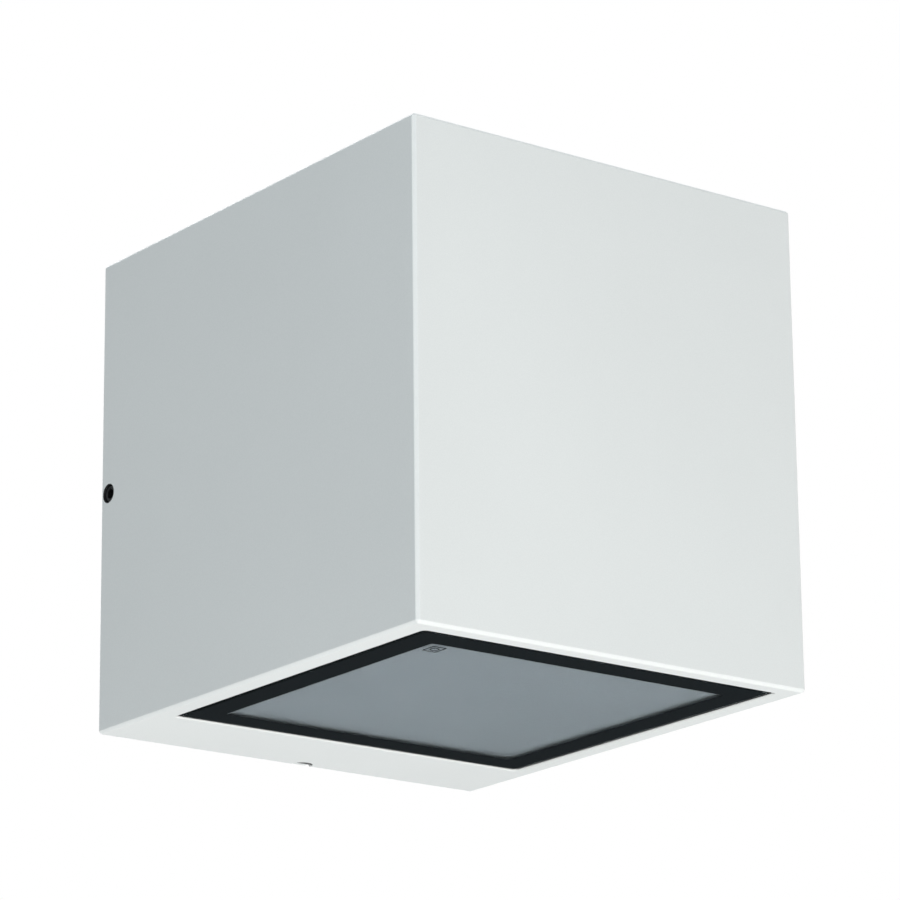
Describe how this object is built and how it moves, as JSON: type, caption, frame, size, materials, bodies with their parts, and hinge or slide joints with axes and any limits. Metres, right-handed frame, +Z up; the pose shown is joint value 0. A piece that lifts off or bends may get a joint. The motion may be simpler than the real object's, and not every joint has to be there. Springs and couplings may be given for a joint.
{
  "type": "outdoor wall lantern",
  "caption": "Cube-shaped outdoor wall light in a white painted cast housing with a flush satin glass window in its underside, sliding onto a wall bracket and held by side set screws.",
  "frame": {"origin": "middle of the rear face that lies on the wall", "axes": "+X to the right as seen from the front, +Y into the wall, +Z up"},
  "size_m": [0.142, 0.163, 0.15],
  "materials": {
    "body_paint": "white fine-texture powder coat",
    "clear_glass": "toughened, with a black printed border",
    "satin_opal": "satin diffuser sheet",
    "black_silicone": "matt",
    "foam": "closed-cell foam",
    "black_steel": "black oxide",
    "stainless": "machined stainless steel",
    "aluminium": "bare cast and sheet aluminium",
    "white_plastic": "satin moulded",
    "board_white": "white solder mask",
    "phosphor": "yellow phosphor under clear silicone",
    "gap_pad": "soft pad",
    "grey_plastic": "moulded",
    "nylon": "moulded",
    "circuit_board": "green solder mask",
    "winding": "enamelled winding and tape",
    "capacitor_sleeve": "shrink sleeve",
    "cable_rubber": "matt cable sheath",
    "insulation_brown": "wire insulation",
    "insulation_blue": "wire insulation",
    "insulation_earth": "green and yellow wire insulation",
    "insulation_red": "wire insulation",
    "insulation_black": "wire insulation",
    "lever_orange": "moulded",
    "tinned_brass": "tinned"
  },
  "bodies": {
    "wall_side": {"wall_bracket": "body_paint", "wall_gasket": "foam", "cable_grommet": "black_silicone"},
    "lamp_head": {"housing": "body_paint", "lens_glass": "clear_glass", "lens_seal": "black_silicone", "diffuser": "satin_opal", "reflector": "white_plastic", "led_board": "board_white", "led_1": "phosphor", "led_2": "phosphor", "led_3": "phosphor", "led_4": "phosphor", "thermal_pad": "gap_pad", "heat_plate": "aluminium", "heat_plate_screw_1": "stainless", "heat_plate_screw_2": "stainless", "heat_plate_screw_3": "stainless", "heat_plate_screw_4": "stainless", "led_board_screw_1": "stainless", "led_board_screw_2": "stainless", "led_board_screw_3": "stainless", "led_board_screw_4": "stainless", "reflector_screw_1": "stainless", "reflector_screw_2": "stainless", "driver_case": "white_plastic", "driver_lid": "white_plastic", "driver_board": "circuit_board", "driver_transformer": "winding", "driver_capacitor": "capacitor_sleeve", "driver_screw_1": "stainless", "driver_screw_2": "stainless", "led_lead_red": "insulation_red", "led_lead_black": "insulation_black", "rear_gasket": "black_silicone", "rear_cover": "aluminium", "cover_screw_1": "stainless", "cover_screw_2": "stainless", "cover_screw_3": "stainless", "cover_screw_4": "stainless", "gland_body": "nylon", "gland_locknut": "nylon", "gland_seal": "black_silicone", "gland_nut": "nylon", "supply_cable": "cable_rubber", "wire_live": "insulation_brown", "wire_earth": "insulation_earth", "wire_neutral": "insulation_blue", "wire_bond": "insulation_earth", "terminal_block": "grey_plastic", "terminal_screw": "stainless", "earth_ring": "tinned_brass", "earth_screw": "tinned_brass", "breather_vent": "nylon"},
    "left_grub_screw": {"grub_screw_left": "black_steel"},
    "right_grub_screw": {"grub_screw_right": "black_steel"},
    "live_lever": {"terminal_lever_live": "lever_orange"},
    "earth_lever": {"terminal_lever_earth": "lever_orange"},
    "neutral_lever": {"terminal_lever_neutral": "lever_orange"}
  },
  "joints": [
    {"name": "housing_slide", "type": "slide", "parent": "wall_side", "child": "lamp_head", "axis": [0, -1, 0], "range_m": [0, 0.06]},
    {"name": "left_grub_screw", "type": "slide", "parent": "lamp_head", "child": "left_grub_screw", "axis": [-1, 0, 0], "range_m": [0, 0.0018]},
    {"name": "right_grub_screw", "type": "slide", "parent": "lamp_head", "child": "right_grub_screw", "axis": [1, 0, 0], "range_m": [0, 0.0018]},
    {"name": "live_lever", "type": "hinge", "parent": "lamp_head", "child": "live_lever", "pos_m": [-0.037, -0.0162, -0.0135], "axis": [1, 0, 0], "range_deg": [0, 85]},
    {"name": "earth_lever", "type": "hinge", "parent": "lamp_head", "child": "earth_lever", "pos_m": [-0.031, -0.0162, -0.0135], "axis": [1, 0, 0], "range_deg": [0, 85]},
    {"name": "neutral_lever", "type": "hinge", "parent": "lamp_head", "child": "neutral_lever", "pos_m": [-0.025, -0.0162, -0.0135], "axis": [1, 0, 0], "range_deg": [0, 85]}
  ]
}
